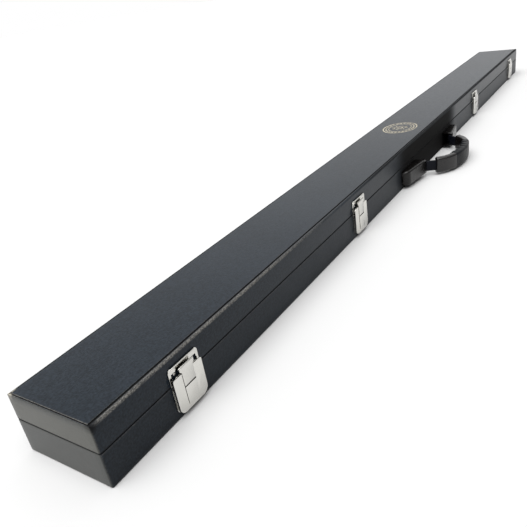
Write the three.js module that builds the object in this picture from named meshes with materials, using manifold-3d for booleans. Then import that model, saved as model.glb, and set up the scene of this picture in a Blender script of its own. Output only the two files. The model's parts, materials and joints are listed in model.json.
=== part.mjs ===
// Hard cue case for a two-piece cue: a long wooden box cut into a base and a hinged lid, covered in
// leatherette, lined inside, closed by four draw latches and carried by a bowed strap handle.
//
// Millimetres, +Z up. The origin is the centre of the underside. X runs along the case, the latches and
// the handle are on the front (-Y), and the hinges are on the back (+Y).

import * as THREE from 'three';
import { mergeVertices } from 'three/addons/utils/BufferGeometryUtils.js';
import Module from 'manifold-3d';

const wasm = await Module();
wasm.setup();

// ---- Driving dimensions -------------------------------------------------------------------------

const LENGTH = 1220;
const WIDTH = 78;
const HEIGHT = 47.5;
const SEAM_Z = 27; // where the box is cut into base and lid
const SEAM_HALF_GAP = 0.15;
const FIT_GAP = 0.3; // between two pieces that touch
const CUT_THROUGH = 1; // how far a cut runs on past an open side

const COVERING = 0.8; // leatherette
const PANEL = 3; // floor and top boards
const WALL = 4; // side and end boards
const LINING = 1.2; // lining card with its cloth
const FLOOR_LINING = 1.5;
const LIP_HEIGHT = 2.5; // the base lining stands this far above the seam and locates the lid
const LID_PAD = 5;
const TOP_MARGIN = { ends: 0.8, sides: 2.2 }; // how far the side covering is turned over the lid's top

const DIVIDER = 4; // the lane divider and the partitions
const DIVIDER_TOP_Z = 24;
const PARTITION_X = [-170, 24]; // left faces of the two partitions in the back lane
const END_PAD = 20;

const LATCH_X = [-533, -244, 244, 533];
const HINGE_X = [-430, 0, 430];

const FRONT_Y = -WIDTH / 2;
const BACK_Y = WIDTH / 2;

// Latch: "out" is the distance in front of the case's front wall.
const LATCH = {
  halfWidth: 15,
  plateOut: [0.3, 0.8],
  basePlateZ: [5.5, 26.6],
  strikePlateZ: [27.4, 40.5],
  cornerRadius: 3,
  faceOut: [2.5, 3.1], // the lever's sheet
  proudOut: [2.8, 3.4], // the hook plate and the lever's middle panel stand a little proud of it
  overlap: 0.1, // how far pieces of one bent sheet run into each other
};
const PIVOT = { out: 1.65, z: 32, pinRadius: 0.38, holeRadius: 0.5, lugRadius: 0.65, pinHalfLength: 10.7 };
const LEVER = {
  halfWidth: 14.7,
  sheet: 0.6,
  rimOut: 1.1, // where its side walls end, close to the base plate
  bottomZ: 4,
  topZ: 32.55,
  topChamfer: 1,
  cornerRadius: 5.5,
  slotHalfWidth: 5.95,
  slotBottomZ: 8.3,
  panelTopZ: 21.3,
  panelLap: 1.2, // how far the panel's foot laps the lever's sheet
  lugX: [8.0, 8.8],
  lugFootZ: 25,
};
const ROD_BLOCK = { x: [6.0, 8.2], halfHeight: 0.6 }; // carries the end of the lever's rod
const EAR = { x: [9.2, 10.0], footZ: 17 };
const HOOK = {
  halfWidth: 5.6,
  flareHalfWidth: 7.3,
  flareZ: [33, 34.8],
  pivotOut: 2.4,
  pivotZ: 22.65,
  curlRadius: 1,
  curlBore: 0.62,
  rodRadius: 0.35,
  rollOut: 2.7,
  rollZ: 36.7,
  rollRadius: 0.7,
};
const STRIKE = {
  windowHalfWidth: 12.6,
  windowZ: [29.4, 36.0],
  tabHalfWidth: 5.2,
  tabBendZ: [32.6, 33.8],
  tabTopZ: 35.6,
  tabOut: [1.2, 1.7],
  rimHeight: 0.5,
  rimWidth: 1,
};

const HINGE = {
  halfLength: 30,
  knuckles: 5,
  knuckleGap: 0.4,
  leaf: 1.0,
  leafHeight: 11,
  knuckleRadius: 2.0,
  boreRadius: 1.25,
  pinRadius: 1.0,
  headRadius: 1.8,
  headLength: 0.9,
  leafClearance: 0.4, // from the knuckles to the edge of the leaf
  axisOut: 2.4,
};
const HINGE_AXIS_Y = BACK_Y + HINGE.axisOut;

const HANDLE_X = -5; // the handle sits a little left of the middle
const HANDLE_Z = 13.5; // middle height of its caps
const HANDLE_DROOP = 0.033; // how far the strap sinks for each millimetre out from the wall
const STRAP = { width: 13, thickness: 2.5 };
const GRIP = { width: 20, thickness: 9, cornerRadius: 3.4, halfSpan: 51, steps: 24 };
const CAP = {
  innerX: 60,
  outerX: 109.5,
  innerOut: 15.5,
  outerOut: 8.5,
  height: 18,
  wall: 1.8,
  cornerRadius: 5,
};
const ANCHOR_X = 96;
const ANCHOR = { shaftRadius: 1.8, headRadius: 3.4, headOut: [4.0, 5.0] };
const STRAP_SLOT = { length: 8, width: 4.6 };
const STRAP_STEPS = 60;

// The right half of the strap's middle line, as [x, distance out from the wall], from the end to the middle.
const STRAP_LINE = [
  [102, 2.2], [92, 2.5], [81, 3.6], [72, 5.8], [65.5, 8.2], [60, 11.4], [55, 17.2],
  [51, 24.2], [46.5, 29.8], [42, 34.1], [31.8, 40.1], [22.6, 42.9], [11.4, 45.1], [0, 45.7],
];

// ---- Materials ----------------------------------------------------------------------------------

const LOOKS = {
  leatherette: { color: 0x2a2c30, roughness: 0.6, metalness: 0 },
  board: { color: 0xb08a5c, roughness: 0.8, metalness: 0 },
  lining: { color: 0x24443a, roughness: 0.95, metalness: 0 },
  foam: { color: 0x2b2d33, roughness: 0.95, metalness: 0 },
  chrome: { color: 0xd2d1cc, roughness: 0.15, metalness: 1 },
  steel: { color: 0x9a9a98, roughness: 0.35, metalness: 1 },
  plastic: { color: 0x17181b, roughness: 0.45, metalness: 0 },
};

const part = new THREE.Group();

function addMesh(name, geometry, look) {
  const mesh = new THREE.Mesh(geometry, new THREE.MeshStandardMaterial(LOOKS[look]));
  mesh.name = name;
  part.add(mesh);
  return mesh;
}

// ---- Geometry helpers ---------------------------------------------------------------------------

const outToY = (out) => FRONT_Y - out;

function boxBetween([x0, x1], [y0, y1], [z0, z1]) {
  const geometry = new THREE.BoxGeometry(x1 - x0, y1 - y0, z1 - z0);
  return geometry.translate((x0 + x1) / 2, (y0 + y1) / 2, (z0 + z1) / 2);
}

function extruded(shape, depth, curveSegments = 6) {
  return new THREE.ExtrudeGeometry(shape, { depth, bevelEnabled: false, curveSegments });
}

// A shape drawn in (x, y), raised from z0 to z1.
function extrudedAlongZ(shape, [z0, z1]) {
  return extruded(shape, z1 - z0).translate(0, 0, z0);
}

// A shape drawn in (x, z), from one distance in front of the wall to another.
function extrudedOutwards(shape, [out0, out1]) {
  return extruded(shape, out1 - out0).rotateX(Math.PI / 2).translate(0, outToY(out0), 0);
}

// A shape drawn in (y, z), from x0 to x1.
function extrudedAlongX(shape, [x0, x1]) {
  const basis = new THREE.Matrix4().makeBasis(
    new THREE.Vector3(0, 1, 0), new THREE.Vector3(0, 0, 1), new THREE.Vector3(1, 0, 0),
  );
  return extruded(shape, x1 - x0).applyMatrix4(basis).translate(x0, 0, 0);
}

function rodAlongX(radius, halfLength, y, z, sides = 12) {
  const rod = new THREE.CylinderGeometry(radius, radius, 2 * halfLength, sides);
  return rod.rotateZ(Math.PI / 2).translate(0, y, z);
}

function polygon(points) {
  return new THREE.Shape(points.map(([a, b]) => new THREE.Vector2(a, b)));
}

function rectangle([a0, a1], [b0, b1]) {
  return polygon([[a0, b0], [a1, b0], [a1, b1], [a0, b1]]);
}

function roundedRectangle([a0, a1], [b0, b1], radius) {
  const shape = new THREE.Shape();
  shape.moveTo(a0 + radius, b0);
  shape.lineTo(a1 - radius, b0);
  shape.absarc(a1 - radius, b0 + radius, radius, -Math.PI / 2, 0);
  shape.lineTo(a1, b1 - radius);
  shape.absarc(a1 - radius, b1 - radius, radius, 0, Math.PI / 2);
  shape.lineTo(a0 + radius, b1);
  shape.absarc(a0 + radius, b1 - radius, radius, Math.PI / 2, Math.PI);
  shape.lineTo(a0, b0 + radius);
  shape.absarc(a0 + radius, b0 + radius, radius, Math.PI, 1.5 * Math.PI);
  return shape;
}

function toSolid(geometry) {
  const bare = geometry.clone();
  bare.deleteAttribute('normal');
  bare.deleteAttribute('uv');
  const merged = mergeVertices(bare, 1e-4);
  return new wasm.Manifold(new wasm.Mesh({
    numProp: 3,
    vertProperties: new Float32Array(merged.attributes.position.array),
    triVerts: new Uint32Array(merged.index.array),
  }));
}

function toGeometry(solid) {
  const mesh = solid.getMesh();
  const geometry = new THREE.BufferGeometry();
  geometry.setAttribute('position', new THREE.BufferAttribute(mesh.vertProperties, 3));
  geometry.setIndex(new THREE.BufferAttribute(mesh.triVerts, 1));
  geometry.computeVertexNormals();
  return geometry;
}

function joined(pieces, cuts = []) {
  let solid = toSolid(pieces[0]);
  for (const piece of pieces.slice(1)) solid = solid.add(toSolid(piece));
  for (const cut of cuts) solid = solid.subtract(toSolid(cut));
  return toGeometry(solid);
}

// ---- Box: covering, boards and lining -----------------------------------------------------------

// A band of the given thickness round a rectangle of the case, inset from the outside.
function band(inset, thickness, zRange, thicknessAtEnds = thickness) {
  const halfX = LENGTH / 2 - inset;
  const halfY = WIDTH / 2 - inset;
  const shape = rectangle([-halfX, halfX], [-halfY, halfY]);
  shape.holes.push(rectangle(
    [-halfX + thicknessAtEnds, halfX - thicknessAtEnds], [-halfY + thickness, halfY - thickness],
  ));
  return extrudedAlongZ(shape, zRange);
}

function slab(inset, zRange) {
  const halfX = LENGTH / 2 - inset;
  const halfY = WIDTH / 2 - inset;
  return boxBetween([-halfX, halfX], [-halfY, halfY], zRange);
}

const BOARD_INSET = COVERING + FIT_GAP;
const LINING_INSET = BOARD_INSET + WALL + FIT_GAP;
const BAY_INSET = LINING_INSET + LINING + FIT_GAP;
const BAY_HALF_X = LENGTH / 2 - BAY_INSET;
const BAY_HALF_Y = WIDTH / 2 - BAY_INSET;

function addWalls(half, zRange) {
  const halfX = LENGTH / 2 - BOARD_INSET;
  const halfY = WIDTH / 2 - BOARD_INSET;
  const endHalfY = halfY - WALL - FIT_GAP;
  addMesh(`${half}_front_board`, boxBetween([-halfX, halfX], [-halfY, -halfY + WALL], zRange), 'board');
  addMesh(`${half}_back_board`, boxBetween([-halfX, halfX], [halfY - WALL, halfY], zRange), 'board');
  const endY = [-endHalfY, endHalfY];
  addMesh(`${half}_left_end_board`, boxBetween([-halfX, -halfX + WALL], endY, zRange), 'board');
  addMesh(`${half}_right_end_board`, boxBetween([halfX - WALL, halfX], endY, zRange), 'board');
}

const BASE_RIM_Z = SEAM_Z - SEAM_HALF_GAP;
const FLOOR_BOARD_Z = [COVERING + FIT_GAP, COVERING + FIT_GAP + PANEL];
const FLOOR_LINING_Z = [FLOOR_BOARD_Z[1] + FIT_GAP, FLOOR_BOARD_Z[1] + FIT_GAP + FLOOR_LINING];
const BAY_FLOOR_Z = FLOOR_LINING_Z[1] + FIT_GAP;
const LIP_TOP_Z = SEAM_Z + LIP_HEIGHT;
const RIM_TURN_IN = BOARD_INSET + WALL; // the covering is turned over the rim of both halves

function addBaseBox() {
  addMesh('base_bottom_covering', slab(0, [0, COVERING]), 'leatherette');
  addMesh('base_side_covering', joined([
    band(0, COVERING, [FLOOR_BOARD_Z[0], BASE_RIM_Z]),
    band(0, RIM_TURN_IN, [BASE_RIM_Z - COVERING, BASE_RIM_Z]),
  ]), 'leatherette');
  addMesh('base_floor_board', slab(BOARD_INSET, FLOOR_BOARD_Z), 'board');
  addWalls('base', [FLOOR_BOARD_Z[1] + FIT_GAP, BASE_RIM_Z - COVERING - FIT_GAP]);
  addMesh('base_floor_lining', slab(LINING_INSET, FLOOR_LINING_Z), 'lining');
  addMesh('base_wall_lining', band(LINING_INSET, LINING, [BAY_FLOOR_Z, LIP_TOP_Z]), 'lining');
}

const LID_RIM_Z = SEAM_Z + SEAM_HALF_GAP;
const TOP_BOARD_Z = [HEIGHT - COVERING - FIT_GAP - PANEL, HEIGHT - COVERING - FIT_GAP];
const LID_CEILING_Z = TOP_BOARD_Z[0] - FIT_GAP;

function addLidBox() {
  const topCoveringZ = [HEIGHT - COVERING, HEIGHT];
  const halfX = LENGTH / 2 - TOP_MARGIN.ends - FIT_GAP;
  const halfY = WIDTH / 2 - TOP_MARGIN.sides - FIT_GAP;
  addMesh('lid_top_covering', boxBetween([-halfX, halfX], [-halfY, halfY], topCoveringZ), 'leatherette');
  addMesh('lid_side_covering', joined([
    band(0, COVERING, [LID_RIM_Z, HEIGHT]),
    band(0, RIM_TURN_IN, [LID_RIM_Z, LID_RIM_Z + COVERING]),
    band(0, TOP_MARGIN.sides, topCoveringZ, TOP_MARGIN.ends),
  ]), 'leatherette');
  addMesh('lid_top_board', slab(BOARD_INSET, TOP_BOARD_Z), 'board');
  addWalls('lid', [LID_RIM_Z + COVERING + FIT_GAP, LID_CEILING_Z]);
  addMesh('lid_wall_lining', band(LINING_INSET, LINING, [LIP_TOP_Z + FIT_GAP, LID_CEILING_Z]), 'lining');
  addMesh('lid_foam_pad', slab(BAY_INSET, [LID_CEILING_Z - LID_PAD, LID_CEILING_Z]), 'foam');
}

// The shaft lies in the front lane. Two partitions cut the back lane into three: butt, chalk, extension.
function addLanes() {
  const zRange = [BAY_FLOOR_Z, DIVIDER_TOP_Z];
  const backLaneY = [DIVIDER / 2 + FIT_GAP, BAY_HALF_Y];
  const frontLaneY = [-BAY_HALF_Y, -DIVIDER / 2 - FIT_GAP];
  const dividerY = [-DIVIDER / 2, DIVIDER / 2];
  addMesh('lane_divider', boxBetween([-BAY_HALF_X, BAY_HALF_X], dividerY, zRange), 'lining');
  const [butt, extension] = PARTITION_X;
  addMesh('butt_partition', boxBetween([butt, butt + DIVIDER], backLaneY, zRange), 'lining');
  addMesh('extension_partition', boxBetween([extension, extension + DIVIDER], backLaneY, zRange), 'lining');
  addMesh('left_end_pad', boxBetween([-BAY_HALF_X, -BAY_HALF_X + END_PAD], frontLaneY, zRange), 'foam');
  addMesh('right_end_pad', boxBetween([BAY_HALF_X - END_PAD, BAY_HALF_X], frontLaneY, zRange), 'foam');
}

// ---- Latches ------------------------------------------------------------------------------------

const PIVOT_Y = outToY(PIVOT.out);
const HOOK_PIVOT_Y = outToY(HOOK.pivotOut);

function bothSides([x0, x1], build) {
  return [build([x0, x1]), build([-x1, -x0])];
}

function pinHole() {
  return rodAlongX(PIVOT.holeRadius, LATCH.halfWidth, PIVOT_Y, PIVOT.z);
}

// The tab bent out of the strike plate's window, which the hook pulls on.
function strikeTabProfile() {
  const [back, front] = LATCH.plateOut;
  const [tabBack, tabFront] = STRIKE.tabOut;
  const footZ = STRIKE.windowZ[0] - LATCH.overlap;
  const [bendZ, straightZ] = STRIKE.tabBendZ;
  const outline = [
    [front, footZ], [front, bendZ], [tabFront, straightZ], [tabFront, STRIKE.tabTopZ],
    [tabBack, STRIKE.tabTopZ], [tabBack, straightZ], [back, bendZ], [back, footZ],
  ];
  return polygon(outline.map(([out, z]) => [outToY(out), z]));
}

// Plate on the lid: rounded top corners, a raised rim along the top and a window with the tab in it.
function strikePlate() {
  const [z0, z1] = LATCH.strikePlateZ;
  const w = LATCH.halfWidth;
  const r = LATCH.cornerRadius;
  const { windowHalfWidth, windowZ, tabHalfWidth, rimHeight, rimWidth } = STRIKE;
  const outline = new THREE.Shape();
  outline.moveTo(-w, z0);
  outline.lineTo(w, z0);
  outline.lineTo(w, z1 - r);
  outline.absarc(w - r, z1 - r, r, 0, Math.PI / 2);
  outline.lineTo(-w + r, z1);
  outline.absarc(-w + r, z1 - r, r, Math.PI / 2, Math.PI);
  outline.holes.push(rectangle([-windowHalfWidth, windowHalfWidth], windowZ));
  const face = LATCH.plateOut[1];
  const rimY = [outToY(face + rimHeight), outToY(face - LATCH.overlap)];
  return joined([
    extrudedOutwards(outline, LATCH.plateOut),
    boxBetween([-w + r, w - r], rimY, [z1 - rimWidth, z1]),
    extrudedAlongX(strikeTabProfile(), [-tabHalfWidth, tabHalfWidth]),
  ]);
}

// One ear of the base plate: it rises in front of the seam and holds the pivot pin.
function earProfile() {
  const r = PIVOT.lugRadius;
  const plateTopZ = LATCH.basePlateZ[1];
  const rootY = outToY(LATCH.plateOut[1] - LATCH.overlap);
  const shape = new THREE.Shape();
  shape.moveTo(rootY, EAR.footZ);
  shape.lineTo(rootY, plateTopZ);
  shape.lineTo(PIVOT_Y + r, plateTopZ);
  shape.lineTo(PIVOT_Y + r, PIVOT.z);
  shape.absarc(PIVOT_Y, PIVOT.z, r, 0, Math.PI);
  shape.lineTo(PIVOT_Y - r, plateTopZ);
  shape.lineTo(PIVOT_Y, EAR.footZ);
  return shape;
}

function latchBasePlate() {
  const w = LATCH.halfWidth;
  const outline = roundedRectangle([-w, w], LATCH.basePlateZ, LATCH.cornerRadius);
  const ears = bothSides(EAR.x, (range) => extrudedAlongX(earProfile(), range));
  return joined([extrudedOutwards(outline, LATCH.plateOut), ...ears], [pinHole()]);
}

// The lever's face: rounded at the bottom, and open in the middle for its panel and the hook plate.
function leverFace() {
  const { halfWidth: w, bottomZ, topZ, topChamfer, cornerRadius: r, slotHalfWidth: slot, slotBottomZ } = LEVER;
  const shape = new THREE.Shape();
  shape.moveTo(-w + r, bottomZ);
  shape.lineTo(w - r, bottomZ);
  shape.absarc(w - r, bottomZ + r, r, -Math.PI / 2, 0);
  const rightHalf = [[w, topZ - topChamfer], [w - topChamfer, topZ], [slot, topZ], [slot, slotBottomZ]];
  const leftHalf = rightHalf.map(([x, z]) => [-x, z]).reverse();
  for (const [x, z] of [...rightHalf, ...leftHalf]) shape.lineTo(x, z);
  shape.lineTo(-w, bottomZ + r);
  shape.absarc(-w + r, bottomZ + r, r, Math.PI, 1.5 * Math.PI);
  return shape;
}

// The lever's side and bottom wall, a U of sheet seen from the front.
function leverRim() {
  const { halfWidth: w, bottomZ, lugFootZ: wallTopZ, cornerRadius: r, sheet } = LEVER;
  const inner = r - sheet;
  const shape = new THREE.Shape();
  shape.moveTo(-w, wallTopZ);
  shape.lineTo(-w, bottomZ + r);
  shape.absarc(-w + r, bottomZ + r, r, Math.PI, 1.5 * Math.PI);
  shape.lineTo(w - r, bottomZ);
  shape.absarc(w - r, bottomZ + r, r, -Math.PI / 2, 0);
  shape.lineTo(w, wallTopZ);
  shape.lineTo(w - sheet, wallTopZ);
  shape.lineTo(w - sheet, bottomZ + r);
  shape.absarc(w - r, bottomZ + r, inner, 0, -Math.PI / 2, true);
  shape.lineTo(-w + r, bottomZ + sheet);
  shape.absarc(-w + r, bottomZ + r, inner, 1.5 * Math.PI, Math.PI, true);
  shape.lineTo(-w + sheet, wallTopZ);
  return shape;
}

// The lug behind the lever's face that turns on the pivot pin.
function leverLugProfile() {
  const frontY = outToY(LATCH.faceOut[0] + LATCH.overlap);
  const r = PIVOT.lugRadius;
  const shape = new THREE.Shape();
  shape.moveTo(frontY, LEVER.lugFootZ);
  shape.lineTo(PIVOT_Y + r, LEVER.lugFootZ);
  shape.lineTo(PIVOT_Y + r, PIVOT.z);
  shape.absarc(PIVOT_Y, PIVOT.z, r, 0, Math.PI / 2);
  shape.lineTo(frontY, LEVER.topZ);
  return shape;
}

function latchLever() {
  const face = LATCH.faceOut;
  const joinOut = face[0] + LATCH.overlap;
  const blockY = [outToY(joinOut), outToY(HOOK.pivotOut - HOOK.rodRadius)];
  const blockZ = [HOOK.pivotZ - ROD_BLOCK.halfHeight, HOOK.pivotZ + ROD_BLOCK.halfHeight];
  const rodBlocks = bothSides(ROD_BLOCK.x, (range) => boxBetween(range, blockY, blockZ));
  const lugs = bothSides(LEVER.lugX, (range) => extrudedAlongX(leverLugProfile(), range));
  const panelZ = [LEVER.slotBottomZ - LEVER.panelLap, LEVER.panelTopZ];
  const panel = rectangle([-HOOK.halfWidth, HOOK.halfWidth], panelZ);
  return joined([
    extrudedOutwards(leverFace(), face),
    extrudedOutwards(panel, LATCH.proudOut),
    extrudedOutwards(leverRim(), [LEVER.rimOut, joinOut]),
    rodAlongX(HOOK.rodRadius, ROD_BLOCK.x[1], HOOK_PIVOT_Y, HOOK.pivotZ),
    ...rodBlocks,
    ...lugs,
  ], [pinHole()]);
}

// The hook plate: curled round the lever's rod at its foot, flared above the lever, rolled over at its top.
function latchHookPlate() {
  const { halfWidth: w, flareHalfWidth: f, flareZ, pivotZ, rollZ } = HOOK;
  const rightHalf = [[w, pivotZ], [w, flareZ[0]], [f, flareZ[1]], [f, rollZ]];
  const leftHalf = rightHalf.map(([x, z]) => [-x, z]).reverse();
  const sheet = polygon([...rightHalf, ...leftHalf]);
  return joined([
    rodAlongX(HOOK.curlRadius, w, HOOK_PIVOT_Y, pivotZ),
    extrudedOutwards(sheet, LATCH.proudOut),
    rodAlongX(HOOK.rollRadius, f, outToY(HOOK.rollOut), rollZ),
  ], [rodAlongX(HOOK.curlBore, LATCH.halfWidth, HOOK_PIVOT_Y, pivotZ)]);
}

function latchPivotPin() {
  return rodAlongX(PIVOT.pinRadius, PIVOT.pinHalfLength, PIVOT_Y, PIVOT.z);
}

function addLatches() {
  const pieces = {
    strike_plate: strikePlate(),
    base_plate: latchBasePlate(),
    lever: latchLever(),
    hook_plate: latchHookPlate(),
    pivot_pin: latchPivotPin(),
  };
  LATCH_X.forEach((x, i) => {
    for (const [piece, geometry] of Object.entries(pieces)) {
      addMesh(`latch_${i + 1}_${piece}`, geometry.clone(), 'chrome').position.x = x;
    }
  });
}

// ---- Hinges -------------------------------------------------------------------------------------

// A leaf on the back wall. Its knuckles are the odd ones (base) or the even ones (lid).
function hingeLeaf(isLid) {
  const sign = isLid ? 1 : -1;
  const leafY = [BACK_Y + FIT_GAP, BACK_Y + FIT_GAP + HINGE.leaf];
  const nearZ = SEAM_Z + sign * (HINGE.knuckleRadius + HINGE.leafClearance);
  const farZ = nearZ + sign * HINGE.leafHeight;
  const sorted = (a, b) => [Math.min(a, b), Math.max(a, b)];
  const leaf = boxBetween([-HINGE.halfLength, HINGE.halfLength], leafY, sorted(nearZ, farZ));
  const pitch = (2 * HINGE.halfLength) / HINGE.knuckles;
  const pieces = [leaf];
  for (let i = isLid ? 1 : 0; i < HINGE.knuckles; i += 2) {
    const start = -HINGE.halfLength + i * pitch;
    const range = [start + HINGE.knuckleGap / 2, start + pitch - HINGE.knuckleGap / 2];
    const middle = (range[0] + range[1]) / 2;
    const barrel = rodAlongX(HINGE.knuckleRadius, (range[1] - range[0]) / 2, HINGE_AXIS_Y, SEAM_Z);
    pieces.push(barrel.translate(middle, 0, 0));
    pieces.push(boxBetween(range, leafY, sorted(SEAM_Z, nearZ + sign * HINGE.leaf)));
  }
  const bore = rodAlongX(HINGE.boreRadius, HINGE.halfLength + CUT_THROUGH, HINGE_AXIS_Y, SEAM_Z);
  return joined(pieces, [bore]);
}

function hingePin() {
  const reach = HINGE.halfLength + FIT_GAP;
  const end = reach + HINGE.headLength;
  const profile = [
    [0, -end], [HINGE.headRadius, -end], [HINGE.headRadius, -reach], [HINGE.pinRadius, -reach],
    [HINGE.pinRadius, reach], [HINGE.headRadius, reach], [HINGE.headRadius, end], [0, end],
  ].map(([radius, along]) => new THREE.Vector2(radius, along));
  return new THREE.LatheGeometry(profile, 12).rotateZ(Math.PI / 2).translate(0, HINGE_AXIS_Y, SEAM_Z);
}

function addHinges() {
  const pieces = { base_leaf: hingeLeaf(false), lid_leaf: hingeLeaf(true), pin: hingePin() };
  HINGE_X.forEach((x, i) => {
    for (const [piece, geometry] of Object.entries(pieces)) {
      addMesh(`hinge_${i + 1}_${piece}`, geometry.clone(), 'steel').position.x = x;
    }
  });
}

// ---- Handle -------------------------------------------------------------------------------------

function strapCurve() {
  const point = (x, out) => new THREE.Vector3(x, outToY(out), HANDLE_Z - HANDLE_DROOP * out);
  const right = STRAP_LINE.map(([x, out]) => point(x, out));
  const left = STRAP_LINE.slice(0, -1).map(([x, out]) => point(-x, out));
  return new THREE.CatmullRomCurve3([...left, ...right.reverse()]);
}

// Along a level path the section's first axis turns to -Z and its second lies across the path.
function sweptAlong(path, section, steps) {
  const options = { extrudePath: path, steps, bevelEnabled: false, curveSegments: 3 };
  return new THREE.ExtrudeGeometry(section, options);
}

function centredSection(width, thickness, radius) {
  return roundedRectangle([-width / 2, width / 2], [-thickness / 2, thickness / 2], radius);
}

// The strap runs from cap to cap through the grip, with a slot near each end for the anchor stud.
function handleStrap() {
  const section = rectangle([-STRAP.width / 2, STRAP.width / 2], [-STRAP.thickness / 2, STRAP.thickness / 2]);
  const halfSlot = STRAP_SLOT.length / 2;
  const slotY = [outToY(ANCHOR.headOut[1]), outToY(0)];
  const slotZ = [HANDLE_Z - STRAP_SLOT.width / 2, HANDLE_Z + STRAP_SLOT.width / 2];
  const slots = [-ANCHOR_X, ANCHOR_X].map((x) => boxBetween([x - halfSlot, x + halfSlot], slotY, slotZ));
  return joined([sweptAlong(strapCurve(), section, STRAP_STEPS)], slots);
}

// The grip is a moulded sleeve over the middle of the strap.
function handleGrip() {
  const samples = strapCurve().getSpacedPoints(120).filter((point) => Math.abs(point.x) <= GRIP.halfSpan);
  const path = new THREE.CatmullRomCurve3(samples);
  const outer = centredSection(GRIP.width, GRIP.thickness, GRIP.cornerRadius);
  const bore = rectangle(
    [-STRAP.width / 2 - FIT_GAP, STRAP.width / 2 + FIT_GAP],
    [-STRAP.thickness / 2 - FIT_GAP, STRAP.thickness / 2 + FIT_GAP],
  );
  outer.holes.push(bore);
  return sweptAlong(path, outer, GRIP.steps);
}

// A cap is a wedge-shaped shell, open to the wall and at its inner end, where the strap comes out.
function handleCap(side) {
  const { innerX, outerX, innerOut, outerOut, wall, cornerRadius: r } = CAP;
  const slope = (innerOut - outerOut) / (outerX - innerX);
  const faceOut = (x) => innerOut - slope * (x - innerX);
  const shell = new THREE.Shape();
  shell.moveTo(innerX, outToY(FIT_GAP));
  shell.lineTo(innerX, outToY(innerOut));
  shell.lineTo(outerX - r, outToY(faceOut(outerX - r)));
  shell.quadraticCurveTo(outerX, outToY(outerOut), outerX, outToY(outerOut - r));
  shell.lineTo(outerX, outToY(FIT_GAP));
  const hollow = polygon([
    [innerX - CUT_THROUGH, outToY(-CUT_THROUGH)],
    [innerX - CUT_THROUGH, outToY(faceOut(innerX - CUT_THROUGH) - wall)],
    [outerX - r, outToY(faceOut(outerX - r) - wall)],
    [outerX - wall, outToY(outerOut - r - wall / 2)],
    [outerX - wall, outToY(-CUT_THROUGH)],
  ]);
  const half = CAP.height / 2;
  const solid = joined(
    [extrudedAlongZ(shell, [HANDLE_Z - half, HANDLE_Z + half])],
    [extrudedAlongZ(hollow, [HANDLE_Z - half + wall, HANDLE_Z + half - wall])],
  );
  return side > 0 ? solid : mirroredInX(solid);
}

function mirroredInX(geometry) {
  const mirrored = geometry.clone().scale(-1, 1, 1);
  const index = mirrored.index.array;
  for (let i = 0; i < index.length; i += 3) {
    [index[i], index[i + 1]] = [index[i + 1], index[i]];
  }
  return mirrored;
}

function handleAnchor(side) {
  const { shaftRadius, headRadius, headOut } = ANCHOR;
  const profile = [
    [0, FIT_GAP], [shaftRadius, FIT_GAP], [shaftRadius, headOut[0]],
    [headRadius, headOut[0]], [headRadius, headOut[1]], [0, headOut[1]],
  ].map(([radius, out]) => new THREE.Vector2(radius, out));
  const stud = new THREE.LatheGeometry(profile, 16).rotateX(Math.PI);
  return stud.translate(side * ANCHOR_X, FRONT_Y, HANDLE_Z);
}

function addHandle() {
  addMesh('handle_strap', handleStrap(), 'plastic').position.x = HANDLE_X;
  addMesh('handle_grip', handleGrip(), 'plastic').position.x = HANDLE_X;
  for (const [name, side] of [['left', -1], ['right', 1]]) {
    addMesh(`handle_${name}_cap`, handleCap(side), 'plastic').position.x = HANDLE_X;
    addMesh(`handle_${name}_anchor`, handleAnchor(side), 'steel').position.x = HANDLE_X;
  }
}

addBaseBox();
addLidBox();
addLanes();
addLatches();
addHinges();
addHandle();

export default part;
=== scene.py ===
"""The cue case as it looks: leatherette coverings, lined lanes, plated latches and hinges, and a handle."""
import json
import math

import bmesh
import bpy
from mathutils import Matrix, Vector, noise


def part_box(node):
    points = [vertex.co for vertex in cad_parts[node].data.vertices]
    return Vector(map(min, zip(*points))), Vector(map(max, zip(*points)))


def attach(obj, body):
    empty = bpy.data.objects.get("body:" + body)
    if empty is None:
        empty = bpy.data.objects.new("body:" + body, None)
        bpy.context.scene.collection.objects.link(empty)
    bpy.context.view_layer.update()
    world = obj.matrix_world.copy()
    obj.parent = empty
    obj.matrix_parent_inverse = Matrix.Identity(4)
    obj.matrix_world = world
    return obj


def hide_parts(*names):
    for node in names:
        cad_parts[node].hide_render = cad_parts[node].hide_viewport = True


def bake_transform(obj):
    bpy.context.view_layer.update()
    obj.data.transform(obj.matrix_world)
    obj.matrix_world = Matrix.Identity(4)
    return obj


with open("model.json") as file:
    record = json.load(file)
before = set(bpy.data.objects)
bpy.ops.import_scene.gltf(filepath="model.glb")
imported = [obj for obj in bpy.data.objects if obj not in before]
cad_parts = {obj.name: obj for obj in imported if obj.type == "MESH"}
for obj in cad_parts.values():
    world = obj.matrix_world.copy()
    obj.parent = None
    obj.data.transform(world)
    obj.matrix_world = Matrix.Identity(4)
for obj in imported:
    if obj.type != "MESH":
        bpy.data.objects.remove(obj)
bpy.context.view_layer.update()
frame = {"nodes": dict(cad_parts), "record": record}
SLOT_OF = {row["node"]: row["material_slot"] for row in frame["record"]["subparts"]}
BODY_OF = {
    node: body
    for body, nodes in frame["record"]["behaviour"]["bodies"].items()
    for node in nodes
}

MM = 0.001
WELD = 1e-6  # points closer than this are one point

# ---- Sizes, in metres -----------------------------------------------------------------------------

CASE_LOW, CASE_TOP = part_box("base_bottom_covering")[0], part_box("lid_top_covering")[1]
HALF_X, HALF_Y = -CASE_LOW.x, -CASE_LOW.y
TOP_Z = CASE_TOP.z
FRONT_Y = -HALF_Y
BASE_RIM_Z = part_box("base_side_covering")[1].z
LID_RIM_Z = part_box("lid_side_covering")[0].z

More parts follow.
